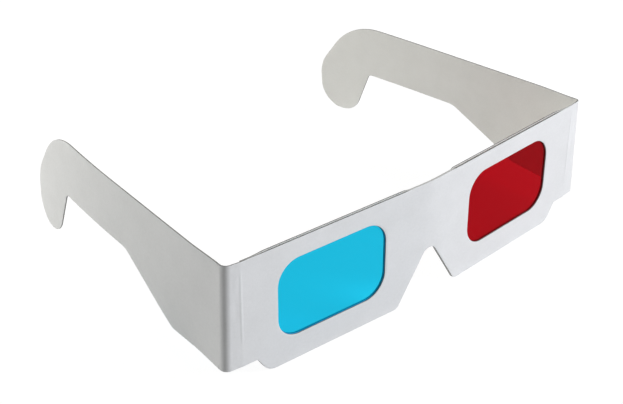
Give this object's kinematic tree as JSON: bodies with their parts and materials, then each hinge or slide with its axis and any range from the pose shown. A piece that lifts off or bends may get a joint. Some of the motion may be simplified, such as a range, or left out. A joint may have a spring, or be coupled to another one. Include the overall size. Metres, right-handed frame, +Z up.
{
  "type": "3d glasses",
  "caption": "Folding card 3d glasses: a two-ply front with a red and a cyan film window, a nose notch, and creased temples with ear hooks.",
  "frame": {"origin": "middle of the base, on the surface that the glasses stand on, half way between the front's outer face and the ends of the hooks", "axes": "+Z up; the front's outer face looks towards -Y and the temples run towards +Y; the wearer's left is +X"},
  "size_m": [0.1396, 0.1086, 0.037],
  "materials": {
    "white_card": "smooth coated white card",
    "red_film": "clear red gel film",
    "cyan_film": "clear cyan gel film",
    "glue": "dried glue"
  },
  "bodies": {
    "front": {"front_card": "white_card", "lining_card": "white_card", "left_film": "red_film", "right_film": "cyan_film", "bridge_bond": "glue", "left_end_bond": "glue", "right_end_bond": "glue", "left_crease": "white_card", "right_crease": "white_card"},
    "left_temple": {"left_temple": "white_card"},
    "right_temple": {"right_temple": "white_card"}
  },
  "joints": [
    {"name": "left_temple_fold", "type": "hinge", "parent": "front", "child": "left_temple", "pos_m": [0.06883, -0.04945, 0], "axis": [0, 0, 1], "range_deg": [-92.5, 83.5], "deforming": ["left_crease"]},
    {"name": "right_temple_fold", "type": "hinge", "parent": "front", "child": "right_temple", "pos_m": [-0.06883, -0.04945, 0], "axis": [0, 0, -1], "range_deg": [-92.5, 80.5], "deforming": ["right_crease"]}
  ]
}
